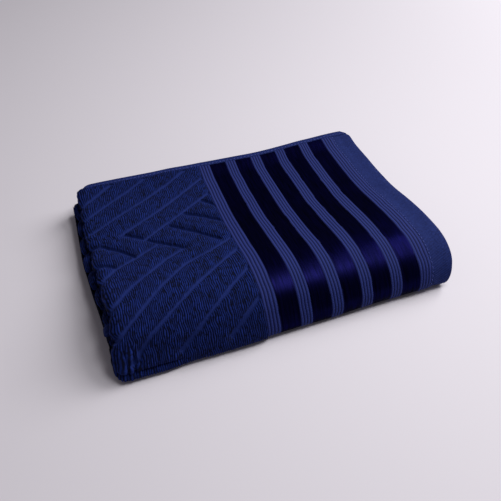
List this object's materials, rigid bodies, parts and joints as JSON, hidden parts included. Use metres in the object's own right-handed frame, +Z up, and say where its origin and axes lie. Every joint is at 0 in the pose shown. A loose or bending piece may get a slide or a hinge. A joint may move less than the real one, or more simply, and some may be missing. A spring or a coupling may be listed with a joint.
{
  "type": "folded bath towel",
  "caption": "Folded terry bath towel with carved pile, a ribbed satin-band border, flat hem, and a flap that opens at the front fold.",
  "frame": {"origin": "middle of the underside, where the stack rests", "axes": "+X along the stack's long side towards the end hem and away from the cross folds, +Y from the front fold to the flap's free edge, +Z up"},
  "size_m": [0.35, 0.25, 0.0465],
  "materials": {
    "terry_pile": "deep royal blue cotton terry loops, carved in flat grooves",
    "satin_band": "dark navy satin weave with a soft directional sheen",
    "ribbed_weave": "royal blue corded ribs, matte",
    "flat_weave_hem": "royal blue plain and twill flat weave, matte",
    "sewing_thread": "lighter blue sewing thread"
  },
  "bodies": {
    "stack": {"back_fold_1": "terry_pile", "back_fold_2": "terry_pile", "back_fold_3": "terry_pile", "back_fold_4": "terry_pile", "base_centre_fold": "terry_pile", "base_inner_cross_fold": "terry_pile", "base_layer_1": "terry_pile", "base_layer_2": "terry_pile", "base_layer_3": "terry_pile", "base_layer_4": "terry_pile", "base_outer_cross_fold": "terry_pile", "front_fold_1": "terry_pile", "front_fold_2": "terry_pile", "front_fold_3": "terry_pile", "front_fold_4": "terry_pile", "tucked_centre_fold": "terry_pile", "tucked_inner_cross_fold": "terry_pile", "tucked_layer_1": "terry_pile", "tucked_layer_2": "terry_pile", "tucked_layer_3": "terry_pile", "tucked_layer_4": "terry_pile", "tucked_outer_cross_fold": "terry_pile"},
    "top_flap": {"end_hem_thread": "sewing_thread", "flap_centre_fold": "terry_pile", "flap_end_hem": "flat_weave_hem", "flap_first_ribs": "ribbed_weave", "flap_inner_cross_fold": "terry_pile", "flap_layer_2": "terry_pile", "flap_layer_3": "terry_pile", "flap_layer_4": "terry_pile", "flap_outer_cross_fold": "terry_pile", "flap_ribs_1": "ribbed_weave", "flap_ribs_2": "ribbed_weave", "flap_ribs_3": "ribbed_weave", "flap_ribs_4": "ribbed_weave", "flap_ribs_5": "ribbed_weave", "flap_satin_band_1": "satin_band", "flap_satin_band_2": "satin_band", "flap_satin_band_3": "satin_band", "flap_satin_band_4": "satin_band", "flap_satin_band_5": "satin_band", "flap_side_hem": "flat_weave_hem", "flap_terry_field": "terry_pile", "side_hem_thread": "sewing_thread"}
  },
  "joints": [
    {"name": "front_fold_hinge", "type": "hinge", "parent": "stack", "child": "top_flap", "pos_m": [0, -0.102, 0.023], "axis": [1, 0, 0], "range_deg": [0, 180], "deforming": ["front_fold_1", "front_fold_2", "front_fold_3", "front_fold_4"]}
  ]
}
